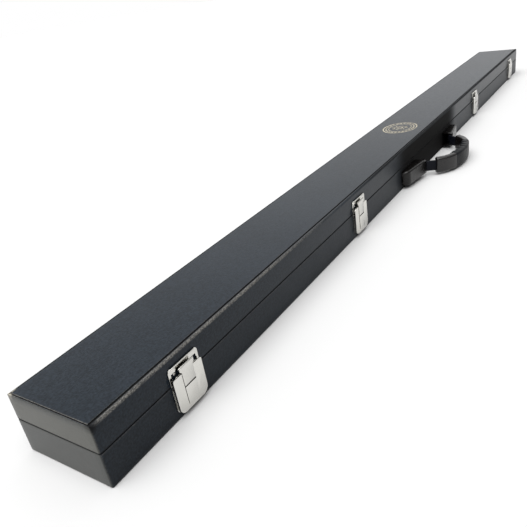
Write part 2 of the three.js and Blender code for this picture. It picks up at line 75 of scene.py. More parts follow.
COVERING = 0.8 * MM
CORNER = 1.5 * MM  # radius of the upright corners
CORNER_STEPS = 5
RIM_ROLL = 0.6 * MM  # where the covering turns in over the rim of both halves
TOP_ROLL_SIDES = 2.2 * MM  # where the side covering turns over the lid's top edge
TOP_ROLL_ENDS = 0.8 * MM
ROLL_STEPS = 7
LIP_RADIUS = 0.6 * MM  # the roll ends in a small lip, which falls into the groove beside the top sheet
LIP_INSET = 0.2 * MM
LIP_Z = TOP_Z - 0.65 * MM
GROOVE_Z = TOP_Z - 0.7 * MM
TOP_TONGUE = 5 * MM  # the turned-over margin runs on under the top sheet to this inset
BOTTOM_ROLL = 1.2 * MM
RIM_TURN_IN = 5.1 * MM
UNDER_TURN_IN = 8 * MM  # where the side covering ends under the base
UNDER_GAP = 0.3 * MM  # between that end and the bottom sheet
FRONT_GROOVE = 1.6 * MM  # how far the top sheet stands back from the rolled margin
BACK_GROOVE = 0.5 * MM
END_GROOVE = 0.5 * MM
STATION_STEP = 5 * MM  # between rings of points round the case
WALL_STEPS = 6  # between rings up a wall
SHEET_GRID = 8 * MM  # between grid lines of the top and bottom sheets
EDGE_STRIP = 0.8 * MM  # except for the outermost ones, which lie this far from the edge
RIM_PAINT_STOP = 1.3 * MM  # worn marks, dirt, painted highlights and painted shade stop this far from the rims
LIP_PAINT_STOP = 0.6 * MM  # and this far below the top roll

LATCH_COUNT = 4
HINGE_COUNT = 3

HANDLE_X = -5 * MM  # the handle sits a little left of the middle
HANDLE_Z = 13.5 * MM
HANDLE_DROOP = 0.033  # how far the strap sinks for each millimetre out from the wall
STRAP_WIDTH = 13 * MM
STRAP_THICKNESS = 2.5 * MM
RIB_DEPTH = 0.08 * MM
GRIP_WIDTH = 20 * MM
GRIP_THICKNESS = 9 * MM
GRIP_HALF_SPAN = 51 * MM
GRIP_CORNER = 3.2 * MM
GRIP_END_ROLL = 1.4 * MM
GRIP_WAIST = 0.35 * MM  # how much the middle lies below the cuffs
CUFF_LAP = 1.5 * MM  # how far the middle runs on inside them
CUFF_INNER_X = 29 * MM
RIDGE_HEIGHT = 2.1 * MM  # of the finger ridges on the grip's inner side
RIDGE_PITCH = 9.5 * MM
# The right half of the strap's middle line: x, and distance out from the wall, in millimetres.
STRAP_LINE = [
    (102, 2.2), (92, 2.5), (81, 3.6), (72, 5.8), (65.5, 8.2), (60, 11.4), (55, 17.2),
    (51, 24.2), (46.5, 29.8), (42, 34.1), (31.8, 40.1), (22.6, 42.9), (11.4, 45.1), (0, 45.7),
]
CAP_INNER_X = 60 * MM
CAP_OUTER_X = 109.5 * MM
CAP_INNER_OUT = 15.5 * MM
CAP_FOOT_OUT = 0.3 * MM  # the gap between the cap and the wall
CAP_SLOPE = 0.1414  # how far its face sinks towards the wall for each millimetre outwards
CAP_HALF_HEIGHT = 9 * MM
CAP_WALL = 1.6 * MM
CAP_ROLL = 2.6 * MM
CAP_END_RADIUS = 8.5 * MM
CAP_END_CORNER = 5 * MM


# ---- Materials ------------------------------------------------------------------------------------

class Nodes:
    """A node tree, with short ways to add the nodes that it needs."""

    def __init__(self, tree, coordinates):
        self.tree = tree
        self.place = tree.nodes.new("ShaderNodeTexCoord").outputs[coordinates]

    def node(self, kind, inputs, **settings):
        made = self.tree.nodes.new(kind)
        for name, value in settings.items():
            setattr(made, name, value)
        for name, value in inputs.items():
            if isinstance(value, bpy.types.NodeSocket):
                self.tree.links.new(value, made.inputs[name])
            else:
                made.inputs[name].default_value = value
        return made

    def stretched(self, scale, turn=(0, 0, 0)):
        inputs = {"Vector": self.place, "Scale": scale, "Rotation": turn}
        return self.node("ShaderNodeMapping", inputs).outputs[0]

    def noise(self, scale, detail=3, place=None):
        inputs = {"Vector": place or self.place, "Scale": scale, "Detail": detail}
        return self.node("ShaderNodeTexNoise", inputs).outputs["Fac"]

    def cells(self, scale):
        inputs = {"Vector": self.place, "Scale": scale}
        return self.node("ShaderNodeTexVoronoi", inputs).outputs["Distance"]

    def math(self, operation, a, b):
        return self.node("ShaderNodeMath", {0: a, 1: b}, operation=operation).outputs[0]

    def ranged(self, value, low, high, to_low, to_high):
        inputs = {"Value": value, "From Min": low, "From Max": high, "To Min": to_low, "To Max": to_high}
        return self.node("ShaderNodeMapRange", inputs).outputs[0]

    def mixed(self, share, a, b):
        made = self.node("ShaderNodeMix", {0: share}, data_type="RGBA")
        for socket, value in ((made.inputs[6], a), (made.inputs[7], b)):
            if isinstance(value, bpy.types.NodeSocket):
                self.tree.links.new(value, socket)
            else:
                socket.default_value = (*value, 1)
        return made.outputs[2]

    def attribute(self, name):
        return self.node("ShaderNodeAttribute", {}, attribute_name=name).outputs["Fac"]


class Look(Nodes):
    """A material on one principled shader."""

    def __init__(self, name, base, roughness, **sockets):
        self.material = bpy.data.materials.new(name)
        self.material.use_nodes = True
        super().__init__(self.material.node_tree, "Object")
        self.shader = self.tree.nodes["Principled BSDF"]
        self.set(Base_Color=(*base, 1), Roughness=roughness, **sockets)

    def set(self, **sockets):
        for name, value in sockets.items():
            self.shader.inputs[name.replace("_", " ")].default_value = value

    def open_air(self, reach):
        """1 on open faces, falling to 0 deep in a crevice. The looks paint shade into crevices with it."""
        made = self.node("ShaderNodeAmbientOcclusion", {"Distance": reach}, samples=8)
        return self.ranged(made.outputs["AO"], 0.25, 0.75, 0, 1)

    def bump(self, height, strength, distance, under=None):
        inputs = {"Height": height, "Strength": strength, "Distance": distance}
        if under is not None:
            inputs["Normal"] = under
        return self.node("ShaderNodeBump", inputs).outputs[0]

    def drive(self, **sockets):
        for name, value in sockets.items():
            self.tree.links.new(value, self.shader.inputs[name.replace("_", " ")])


def leather_colour(look, wear, shade_and_grime_mask):
    """Mottled black: pale where worn and where highlights are painted, the board where bare, with a pale
    sheen painted on the ends, dark with dirt and with painted shade.
    """
    dark, light = (0.003, 0.0058, 0.0095), (0.0095, 0.0145, 0.021)
    # Pale where worn, and where highlights are painted along the base's rim and the top sheet's edges.
    worn_and_lit_dark, worn_and_lit_light = (0.032, 0.032, 0.031), (0.128, 0.123, 0.114)
    # Painted sheen: the pale tone that makes the end faces look lit.
    dusty = (0.078, 0.078, 0.069)
    board = (0.5, 0.46, 0.38)
    # Near black, for dirt and for painted shade.
    grime = (0.0008, 0.0008, 0.001)
    mottle = look.math("ADD", look.noise(620, 4), look.math("MULTIPLY", look.noise(9, 4), 0.3))
    colour = look.mixed(look.ranged(mottle, 0.5, 0.8, 0, 1), dark, light)
    slant = (0, math.radians(12), math.radians(18))
    fibres = look.noise(1900, 4, look.stretched((0.35, 1, 1), slant))
    rubbed = look.mixed(look.ranged(fibres, 0.4, 0.62, 0, 1), worn_and_lit_dark, worn_and_lit_light)
    colour = look.mixed(wear, colour, rubbed)
    frayed = look.ranged(look.noise(420, 4), 0.4, 0.56, 0, 1)
    colour = look.mixed(look.math("MULTIPLY", look.attribute("bare"), frayed), colour, board)
    colour = look.mixed(look.attribute("dust"), colour, dusty)
    return look.mixed(shade_and_grime_mask, colour, grime)


def leather_grain(look):
    """Crossing threads with pores between them, over slight dents."""
    along = look.noise(1500, 2, look.stretched((0.25, 1, 1)))
    across = look.noise(1500, 2, look.stretched((1, 0.25, 0.25)))
    pores = look.math("MULTIPLY", look.cells(1100), 0.7)
    grain = look.math("ADD", look.math("ADD", along, across), pores)
    return look.bump(look.noise(260, 3), 0.04, 0.0004, look.bump(grain, 0.2, 0.0002))


def leatherette_look():
    look = Look("leatherette", (0.006, 0.0095, 0.0145), 0.27, Specular_IOR_Level=0.16)
    look.set(Specular_Tint=(1.0, 0.985, 0.965, 1))
    patches = look.ranged(look.noise(90, 4), 0.34, 0.56, 0.75, 1)
    wear = look.math("MULTIPLY", look.attribute("wear"), patches)
    # Painted shade: darker and duller deep in crevices.
    crevice_shade = look.math("SUBTRACT", 1, look.open_air(1.2 * MM))
    # The painted layer of shade and dirt, with the crevices' painted shade.
    shade_and_grime_mask = look.math("MAXIMUM", look.attribute("grime"), crevice_shade)
    dulled = look.math("ADD", look.math("MULTIPLY", wear, 0.3), look.math("MULTIPLY", shade_and_grime_mask, 0.6))
    sheen = look.ranged(look.noise(260, 4), 0.3, 0.7, 0.28, 0.32)
    look.drive(
        Base_Color=leather_colour(look, wear, shade_and_grime_mask), Roughness=look.math("ADD", sheen, dulled),
        Normal=leather_grain(look),
    )
    return look.material


def chrome_look():
    look = Look("chrome", (0.62, 0.61, 0.57), 0.14, Metallic=1.0)
    streaks = look.noise(700, 3, look.stretched((1, 1, 0.06)))
    smudges = look.noise(60, 4)
    tone = look.mixed(smudges, (0.59, 0.58, 0.545), (0.68, 0.67, 0.635))
    # Painted shade: the chrome goes near black in crevices and gaps between parts.
    tone = look.mixed(look.open_air(1.5 * MM), (0.02, 0.02, 0.02), tone)
    brushed = look.ranged(streaks, 0.3, 0.7, 0.07, 0.16)
    greasy = look.ranged(smudges, 0.4, 0.8, 0, 0.1)
    look.drive(
        Base_Color=tone, Roughness=look.math("ADD", brushed, greasy),
        Normal=look.bump(streaks, 0.12, 0.00008),
    )
    return look.material


def steel_look():
    look = Look("nickel_steel", (0.55, 0.54, 0.51), 0.3, Metallic=1.0)
    brushed = look.noise(900, 3, look.stretched((0.05, 1, 1)))
    tarnish = look.noise(90, 4)
    tone = look.mixed(look.ranged(tarnish, 0.35, 0.7, 0, 1), (0.6, 0.59, 0.56), (0.42, 0.4, 0.37))
    look.drive(
        Base_Color=tone, Roughness=look.ranged(brushed, 0.3, 0.7, 0.2, 0.38),
        Normal=look.bump(brushed, 0.2, 0.0001),
    )
    return look.material


def handle_look(name, dark, light, roughness, grain_strength, shine):
    look = Look(name, dark, roughness, Specular_IOR_Level=shine)
    tone = look.mixed(look.noise(45, 3), dark, light)
    grain = look.math("ADD", look.cells(900), look.noise(500, 3))
    rubbed = look.ranged(look.noise(80, 3), 0.3, 0.7, roughness - 0.06, roughness + 0.06)
    look.drive(Base_Color=tone, Roughness=rubbed, Normal=look.bump(grain, grain_strength, 0.0003))
    return look.material


def strap_look():
    look = Look("strap", (0.0025, 0.003, 0.0055), 0.5, Specular_IOR_Level=0.12)
    weave = look.math("ADD", look.noise(1400, 2, look.stretched((0.3, 0.3, 1))), look.noise(900, 2))
    look.drive(
        Base_Color=look.mixed(look.noise(60, 3), (0.002, 0.0025, 0.0045), (0.0032, 0.004, 0.007)),
        Roughness=look.ranged(weave, 0.6, 1.4, 0.4, 0.6), Normal=look.bump(weave, 0.3, 0.0002),
    )
    return look.material


def cloth_look(name, dark, light):
    look = Look(name, dark, 0.95, Sheen_Weight=0.5, Sheen_Roughness=0.4)
    pile = look.noise(1800, 3)
    nap = look.noise(25, 4, look.stretched((0.4, 1, 1)))
    tone = look.mixed(look.math("MULTIPLY", pile, nap), dark, light)
    look.drive(
        Base_Color=tone, Roughness=look.ranged(nap, 0.3, 0.7, 0.85, 1),
        Normal=look.bump(pile, 0.5, 0.0003),
    )
    return look.material


def board_look():
    look = Look("plywood", (0.5, 0.36, 0.21), 0.75)
    rings = look.noise(120, 5, look.stretched((0.03, 1, 1)))
    pores = look.noise(1500, 2, look.stretched((0.05, 1, 1)))
    tone = look.mixed(look.ranged(rings, 0.35, 0.65, 0, 1), (0.4, 0.27, 0.15), (0.6, 0.45, 0.28))
    look.drive(
        Base_Color=tone, Roughness=look.ranged(pores, 0.3, 0.7, 0.65, 0.85),
        Normal=look.bump(pores, 0.3, 0.0002),
    )
    return look.material


def foil_look():
    look = Look("gold_foil", (0.6, 0.52, 0.36), 0.4, Metallic=0.3)
    rubbed = look.noise(260, 4)
    tone = look.mixed(look.ranged(rubbed, 0.45, 0.7, 0, 1), (0.44, 0.39, 0.28), (0.16, 0.14, 0.1))
    look.drive(
        Base_Color=tone, Roughness=look.ranged(rubbed, 0.3, 0.7, 0.3, 0.5),
        Normal=look.bump(rubbed, 0.3, 0.0001),
    )
    return look.material


LOOKS = {
    "leatherette": leatherette_look(),
    "board": board_look(),
    "lining": cloth_look("lining_cloth", (0.008, 0.035, 0.026), (0.03, 0.11, 0.08)),
    "foam": cloth_look("pad_cloth", (0.009, 0.04, 0.03), (0.035, 0.12, 0.09)),
    "chrome": chrome_look(),
    "steel": steel_look(),
    "strap": strap_look(),
    "grip": handle_look(
        "handle_grain", (0.0018, 0.0024, 0.0035), (0.003, 0.0038, 0.0052),
        roughness=0.42, grain_strength=0.35, shine=0.12,
    ),
    "cuff": handle_look(
        "handle_cuff", (0.0035, 0.003, 0.003), (0.005, 0.0042, 0.0042),
        roughness=0.24, grain_strength=0.1, shine=0.5,
    ),
    "cap": handle_look(
        "handle_cap", (0.0022, 0.0019, 0.0018), (0.0034, 0.0029, 0.0027),
        roughness=0.25, grain_strength=0.12, shine=0.3,
    ),
    "foil": foil_look(),
}


# ---- Mesh helpers ---------------------------------------------------------------------------------

def arc(centre, radius, start, end, steps):
    """Points on an arc in a plane, from one angle in degrees to another."""
    angles = [math.radians(start + (end - start) * i / steps) for i in range(steps + 1)]
    return [(centre[0] + radius * math.cos(a), centre[1] + radius * math.sin(a)) for a in angles]


def smooth(t):
    """A soft step from 0 to 1."""
    t = min(max(t, 0), 1)
    return t * t * (3 - 2 * t)


def ramp(value, start, end):
    """0 before the start, 1 beyond the end and soft between them. The end may be the lower of the two."""
    return smooth((value - start) / (end - start))


def skin(rings, closed_path=False, capped=False):
    """Faces between rings of points that each have the same count."""
    count = len(rings[0])
    faces = []
    for i in range(len(rings) if closed_path else len(rings) - 1):
        here, there = i * count, (i + 1) % len(rings) * count
        for j in range(count):
            k = (j + 1) % count
            faces.append((here + j, here + k, there + k, there + j))
    if capped:
        last = (len(rings) - 1) * count
        faces.append(tuple(range(count)))
        faces.append(tuple(range(last, last + count)))
    return [point for ring in rings for point in ring], faces


def add_faces(bm, verts, faces):
    """Adds points and the faces between them, and returns the points."""
    points = [bm.verts.new(v) for v in verts]
    for face in faces:
        bm.faces.new([points[i] for i in face])
    return points


def tidy_mesh(bm):
    """Welds points that coincide and turns every face outwards."""
    bmesh.ops.remove_doubles(bm, verts=bm.verts, dist=WELD)
    bmesh.ops.dissolve_degenerate(bm, edges=bm.edges, dist=WELD / 10)
    bmesh.ops.recalc_face_normals(bm, faces=bm.faces)


def piece(name, bm, body, look, stands_for=(), sharp=35):
    """A finished piece that rides on a body. It stands for the CAD nodes named."""
    mesh = bpy.data.meshes.new(name)
    bm.to_mesh(mesh)
    bm.free()
    mesh.shade_smooth()
    mesh.set_sharp_from_angle(angle=math.radians(sharp))
    mesh.materials.append(LOOKS[look])
    made = bpy.data.objects.new(name, mesh)
    bpy.context.scene.collection.objects.link(made)
    if body is not None:
        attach(made, body)
    if stands_for:
        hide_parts(*stands_for)
    return made


def bmesh_of(verts, faces):
    bm = bmesh.new()
    add_faces(bm, verts, faces)
    tidy_mesh(bm)
    return bm


def bevel_sharp(bm, width, segments=2, angle=30):
    limit = math.radians(angle)
    sharp = [e for e in bm.edges if len(e.link_faces) == 2 and e.calc_face_angle(0) > limit]
    bmesh.ops.bevel(
        bm, geom=sharp, offset=width, segments=segments, profile=0.5, affect="EDGES", clamp_overlap=True,
    )


def finished(node, width, segments=2, reshape=None):
    """A copy of a CAD node with its flat faces merged and its edges rounded, which stands for that node."""
    bm = bmesh.new()
    bm.from_mesh(frame["nodes"][node].data)
    if reshape:
        for vertex in bm.verts:
            vertex.co = reshape(vertex.co)
    bmesh.ops.remove_doubles(bm, verts=bm.verts, dist=WELD)
    bmesh.ops.dissolve_limit(bm, angle_limit=math.radians(0.5), verts=bm.verts, edges=bm.edges)
    bevel_sharp(bm, width, segments)
    slot = SLOT_OF[node]
    piece(f"{node}_finished", bm, BODY_OF[node], slot, [node])


def wobble(point, scale, amount):
    """A smooth unevenness, the same in every run."""
    return noise.noise(Vector(point) * scale) * amount


# ---- Coverings ------------------------------------------------------------------------------------

def case_outline():
    """Stations round the case: a point inside the outline and the outward direction there."""
    inner_x, inner_y = HALF_X - CORNER, HALF_Y - CORNER
    corners = [(inner_x, -inner_y), (inner_x, inner_y), (-inner_x, inner_y), (-inner_x, -inner_y)]
    stations = []
    for i, here in enumerate(corners):
        there = corners[(i + 1) % len(corners)]
        start = 90 * i - 90
        for step in range(CORNER_STEPS + 1):
            angle = math.radians(start + 90 * step / CORNER_STEPS)
            stations.append((here, (math.cos(angle), math.sin(angle))))
        facing = stations[-1][1]
        count = round(math.dist(here, there) / STATION_STEP)
        for step in range(1, count):
            t = step / count
            middle = (here[0] + (there[0] - here[0]) * t, here[1] + (there[1] - here[1]) * t)
            stations.append((middle, facing))
    return stations


def round_the_case(profile_at):
    """A closed profile of (inset, z) points, swept round the case. It may differ between sides and ends."""
    rings = []
    for (x, y), (out_x, out_y) in case_outline():
        ring = []
        for inset, z in profile_at(out_y * out_y):
            limit = max(inset, CORNER)
            reach = max(CORNER - inset, 0)
            px = min(max(x, limit - HALF_X), HALF_X - limit) + out_x * reach
            py = min(max(y, limit - HALF_Y), HALF_Y - limit) + out_y * reach
            ring.append((px, py, z))
        rings.append(ring)
    return bmesh_of(*skin(rings, closed_path=True))


def wall_rings(z0, z1):
    """Points up the outer face of a wall, from one height to another."""
    return [(0, z0 + (z1 - z0) * i / WALL_STEPS) for i in range(WALL_STEPS + 1)]


def paint(obj, **layers):
    """Gives each point a value for every named layer, which the leatherette's look reads."""
    for name, value_at in layers.items():
        layer = obj.data.attributes.new(name, "FLOAT", "POINT")
        for i, vertex in enumerate(obj.data.vertices):
            layer.data[i].value = value_at(vertex.co)


# Where the covering is worn, bare or dirty, and where highlights, shade and a pale sheen are painted on it:
# 0 for not at all, 1 for fully. Ramps are over distances.

HANDLE_SHADE = 1.0  # painted shade and dark reflection of the handle, on the wall on either side of it
MARGIN_DARKENING = 0.95  # darker on the front margin, where it isn't worn
CORNER_GRIME = 0.8  # on the one upright corner that isn't pale
GROOVE_SHADE = 1.0  # painted shade in the groove beside the top sheet
BACK_GROOVE_SHADE = 0.3  # where it runs along the back
LOW_SHADE = 0.15  # painted shade on the walls of the base, and as much again towards the floor
# Painted sheen: how pale the end faces of the lid and the base are made.
LID_END_SHEEN = 0.85
BASE_END_SHEEN = 0.5
LEAST_FRONT_WEAR = 0.12  # on the front margin, away from the left end


def from_end(p):
    return HALF_X - abs(p.x)


def from_side(p):
    return HALF_Y - abs(p.y)


def from_front(p):
    return p.y - FRONT_Y


def below_top(p):
    return TOP_Z - p.z


def near_corner(p, x_side, y_side, reach):
    """How near a point is to one of the lid's top corners."""
    corner = Vector((x_side * HALF_X, y_side * HALF_Y, TOP_Z))
    return ramp((p - corner).length, reach, 0)


def on_end(p):
    """The end faces, where a pale sheen is painted, less so under the top edge."""
    on_face = ramp(from_end(p), 0.5 * MM, 0.1 * MM)
    return on_face * (1 - 0.5 * ramp(below_top(p), 6 * MM, 0))


def on_upright_corner(p):
    return ramp(from_end(p), 1.4 * MM, 0.4 * MM) * ramp(from_side(p), 1.4 * MM, 0.4 * MM)


def on_dark_corner(p):
    """One upright corner, at the back of the left end, has kept its dark colour."""
    return on_upright_corner(p) if p.x < 0 < p.y else 0.0


def on_pale_corner(p):
    return on_upright_corner(p) - on_dark_corner(p)


def on_dark_fold(p):
    """The folded corner above the first latch is dirty rather than rubbed bare."""
    return near_corner(p, -1, -1, 9 * MM) * (1 - on_end(p))


def on_front_margin(p):
    """The front wall and the margin that is turned over the lid's front edge."""
    return ramp(from_front(p), 2.2 * MM, 1.7 * MM)


def near_handle(p):
    """Where shade and a dark reflection of the handle are painted on the wall on either side of it."""
    along = ramp(abs(p.x - HANDLE_X), 140 * MM, 90 * MM)
    on_front = ramp(from_front(p), 0.5 * MM, 0.1 * MM)
    return along * on_front * ramp(below_top(p), -1 * MM, 3 * MM)


def lid_wear(p):
    """The top edges are rubbed: most at the front towards the left end, then at the back and the ends."""
    top_edge = ramp(below_top(p), 2.2 * MM, 1.0 * MM)
    towards_left = LEAST_FRONT_WEAR + (1 - LEAST_FRONT_WEAR) * ramp(p.x, -260 * MM, -460 * MM)
    front = on_front_margin(p) * towards_left * (1 - on_dark_fold(p))
    back = ramp(HALF_Y - p.y, 2.2 * MM, 1.7 * MM)
    end = ramp(from_end(p), 1.4 * MM, 0.9 * MM)
    return max(top_edge * max(front, 0.6 * back, 0.3 * end), 0.35 * on_pale_corner(p))


def lid_bare(p):
    """The board shows through at three of the top corners, most of all at the back of the left end."""
    slightly = max(near_corner(p, 1, -1, 3 * MM), near_corner(p, 1, 1, 3 * MM))
    return max(near_corner(p, -1, 1, 8 * MM), 0.6 * slightly)


def in_top_groove(p):
    """Whether a point is on the tongue that runs under the edge of the top sheet."""
    beside_end = from_end(p) > TOP_ROLL_ENDS - 0.3 * MM
    beside_side = from_side(p) > TOP_ROLL_SIDES - 0.3 * MM
    return beside_end and beside_side and 0.15 * MM < below_top(p) < 2 * MM


def lid_grime(p):
    """Painted shade in the groove beside the top sheet, at the seam on the lower rim and on the wall beside
    the handle; darker on the front margin away from the left end; dirt on the dark corners.
    """
    # Painted shade in the groove beside the top sheet, less along the back.
    if in_top_groove(p):
        return GROOVE_SHADE if HALF_Y - p.y > 6 * MM else BACK_GROOVE_SHADE
    # Painted shade at the seam, on the lid's lower rim roll.
    rim = ramp(p.z - LID_RIM_Z, 0.85 * MM, 0.5 * MM)
    # Darker on the front margin, away from the left end.
    margin = on_front_margin(p) * ramp(below_top(p), 2.4 * MM, 0) * ramp(p.x, -300 * MM, -160 * MM)
    corners = max(on_dark_fold(p), CORNER_GRIME * on_dark_corner(p))
    return max(rim, corners, MARGIN_DARKENING * margin, HANDLE_SHADE * near_handle(p))


def lid_dust(p):
    # Painted sheen on the lid's end faces.
    return LID_END_SHEEN * on_end(p)


def base_wear(p):
    """The base is rubbed a little at its foot and on its upright corners, and a thin highlight is painted
    just under its rim.
    """
    low = ramp(p.z, 2.2 * MM, 0)
    # Painted highlight just under the rim, below the painted shade of the seam.
    rim = ramp(abs(BASE_RIM_Z - p.z - 0.55 * MM), 0.4 * MM, 0)
    return max(0.3 * low, 0.4 * rim, 0.3 * on_pale_corner(p))


def base_grime(p):
    """Painted shade at the seam on the rim, low on the long walls and round the handle; dirt on the dark
    upright corner.
    """
    # Painted shade at the seam, on the base's rim.
    rim = ramp(BASE_RIM_Z - p.z, 0.3 * MM, 0)
    # Painted shade low on the long walls, deeper towards the floor, none on the ends.
    low = LOW_SHADE * (1 + ramp(p.z, 10 * MM, 0))
    # Dirt on the dark corner, and painted shade beside the handle.
    corner_dirt_and_handle_shade = max(CORNER_GRIME * on_dark_corner(p), HANDLE_SHADE * near_handle(p))
    return max(low * (1 - on_end(p)), rim, corner_dirt_and_handle_shade)


def base_dust(p):
    # Painted sheen on the base's end faces.
    return BASE_END_SHEEN * on_end(p)


def nowhere(_):
    return 0


def lid_wrap():
    """The lid's side covering, from its turned-in rim to the tongue under the top sheet."""
    tongue_z = TOP_Z - COVERING

    def profile(sideness):
        roll = TOP_ROLL_ENDS + (TOP_ROLL_SIDES - TOP_ROLL_ENDS) * sideness
        outer = arc((RIM_ROLL, LID_RIM_Z + RIM_ROLL), RIM_ROLL, 270, 180, 4)
        outer += wall_rings(LID_RIM_Z + RIM_PAINT_STOP, TOP_Z - TOP_ROLL_SIDES - LIP_PAINT_STOP)
        outer += [(0, TOP_Z - TOP_ROLL_SIDES)]
        outer += arc((roll, TOP_Z - roll), roll, 180, 110, ROLL_STEPS)
        outer += arc((roll - LIP_INSET, LIP_Z), LIP_RADIUS, 90, 0, 4)
        inner = [(TOP_TONGUE, GROOVE_Z), (TOP_TONGUE, tongue_z), (COVERING, tongue_z)]
        inner += [(COVERING, LID_RIM_Z + COVERING)]
        inner += [(RIM_TURN_IN, LID_RIM_Z + COVERING), (RIM_TURN_IN, LID_RIM_Z)]
        return outer + inner

    bm = round_the_case(profile)
    made = piece("lid_wrap", bm, "lid", "leatherette", ["lid_side_covering"])
    paint(made, wear=lid_wear, bare=lid_bare, grime=lid_grime, dust=lid_dust)


def base_wrap():
    """The base's side covering, from its turned-in rim to its margin under the base."""
    outer = [(UNDER_TURN_IN, 0)]
    outer += arc((BOTTOM_ROLL, BOTTOM_ROLL), BOTTOM_ROLL, 270, 180, 5)
    outer += wall_rings(BOTTOM_ROLL + RIM_PAINT_STOP, BASE_RIM_Z - RIM_PAINT_STOP)
    outer += arc((RIM_ROLL, BASE_RIM_Z - RIM_ROLL), RIM_ROLL, 180, 90, 4)
    inner = [(RIM_TURN_IN, BASE_RIM_Z), (RIM_TURN_IN, BASE_RIM_Z - COVERING)]
    inner += [(COVERING, BASE_RIM_Z - COVERING), (COVERING, COVERING), (UNDER_TURN_IN, COVERING)]
    bm = round_the_case(lambda _: outer + inner)
    made = piece("base_wrap", bm, "base", "leatherette", ["base_side_covering"])
    paint(made, wear=base_wear, bare=nowhere, grime=base_grime, dust=base_dust)


def spread(share, size, cuts):
    """Where a grid line goes: the lines are even, but the outermost cuts lie close to the edge."""
    line = round(share * (cuts + 1))
    if line == 1:
        return EDGE_STRIP
    if line == cuts:
        return size - EDGE_STRIP
    return share * size


def sheet_grid(low, high):
    """A flat box whose long faces are cut into a grid."""
    size = high - low
    columns = round(size.x / SHEET_GRID)
    rows = round(size.y / SHEET_GRID)
    bm = bmesh.new()
    bmesh.ops.create_cube(bm, size=1)
    lengthways = [e for e in bm.edges if abs(e.verts[0].co.x - e.verts[1].co.x) > 0.5]
    bmesh.ops.subdivide_edges(bm, edges=lengthways, cuts=columns, use_grid_fill=True)
    crossways = [e for e in bm.edges if abs(e.verts[0].co.y - e.verts[1].co.y) > 0.5]
    bmesh.ops.subdivide_edges(bm, edges=crossways, cuts=rows, use_grid_fill=True)
    for v in bm.verts:
        x = low.x + spread(v.co.x + 0.5, size.x, columns)
        y = low.y + spread(v.co.y + 0.5, size.y, rows)
        v.co = Vector((x, y, low.z + (v.co.z + 0.5) * size.z))
    return bm


def covering_panel(name, low, high, node, faces_up, body):
    """A flat sheet with rolled edges, worn along them and with a highlight painted there, most at the ends,
    that lies a little uneven.
    """
    highlit_worn_edge = 0.6 * MM

    def to_end(p):
        return min(p.x - low.x, high.x - p.x)

    def to_edge(p):
        return min(to_end(p), p.y - low.y, high.y - p.y)

    def edge_wear(p):
        # Painted highlight and worn marks along the sheet's edges, strongest at the ends.
        return (0.9 if to_end(p) < highlit_worn_edge else 0.3) * ramp(to_edge(p), highlit_worn_edge, 0)

    bm = sheet_grid(low, high)
    bevel_sharp(bm, 0.2 * MM, 3, 60)
    face_z = high.z if faces_up else low.z
    for v in bm.verts:
        if abs(v.co.z - face_z) < 0.05 * MM and to_edge(v.co) > MM:
            sunk = abs(wobble(v.co, 20, 0.03 * MM))
            v.co.z += -sunk if faces_up else sunk
    made = piece(name, bm, body, "leatherette", [node])
    paint(made, wear=edge_wear, bare=nowhere, grime=nowhere, dust=nowhere)


def coverings():
    lid_wrap()
    base_wrap()
    low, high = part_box("lid_top_covering")
    low = low + Vector((END_GROOVE, FRONT_GROOVE, 0.15 * MM))
    high = high - Vector((END_GROOVE, BACK_GROOVE, 0))
    covering_panel("lid_top_sheet", low, high, "lid_top_covering", True, "lid")
    low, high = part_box("base_bottom_covering")
    inset = UNDER_TURN_IN + UNDER_GAP
    low = low + Vector((inset, inset, 0.05 * MM))
    high = high - Vector((inset, inset, 0))
    covering_panel("base_under_sheet", low, high, "base_bottom_covering", False, "base")


# ---- Inside ---------------------------------------------------------------------------------------

PAD_CHANNELS = 12
PAD_STEPS = 240


def boards():
    for node in frame["nodes"]:
        if node.endswith("_board"):
            finished(node, 0.3 * MM, segments=1)


def linings():
    finished("base_floor_lining", 0.4 * MM)
    finished("base_wall_lining", 0.35 * MM)
    finished("lid_wall_lining", 0.35 * MM)
    for node in ("lane_divider", "butt_partition", "extension_partition"):
        finished(node, 1.3 * MM, segments=4)


def pad_fullness(along, length):
    """How full the lid pad is at a distance along it: it is drawn in at its channels and at its ends."""
    pitch = length / PAD_CHANNELS
    from_channel = abs(along - round(along / pitch) * pitch)
    fullness = 0.55 + 0.45 * ramp(from_channel, 0, 14 * MM)
    at_end = min(along, length - along) < MM
    return 0.8 * fullness if at_end else fullness


def lid_pad():
    """A padded strip with sewn cross channels, hanging from the lid's top board."""
    low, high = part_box("lid_foam_pad")
    size, middle_y = high - low, (low.y + high.y) / 2
    circle = arc((0, 0), 1, 0, 360, 28)[:-1]
    squareness = 6
    rings = []
    for i in range(PAD_STEPS + 1):
        along = size.x * i / PAD_STEPS
        fullness = pad_fullness(along, size.x)
        ring = []
        for c, s in circle:
            scale = (abs(c) ** squareness + abs(s) ** squareness) ** (-1 / squareness)
            y = middle_y + size.y / 2 * c * scale * (0.985 + 0.015 * fullness)
            depth = 0.5 - 0.5 * s * scale
            crown = 1 - 0.25 * (c * scale) ** 2 if s < 0 else 1
            ring.append((low.x + along, y, high.z - size.z * depth * fullness * crown))
        rings.append(ring)
    bm = bmesh_of(*skin(rings, capped=True))
    made = piece("lid_pad_cloth", bm, "lid", "foam", ["lid_foam_pad"])


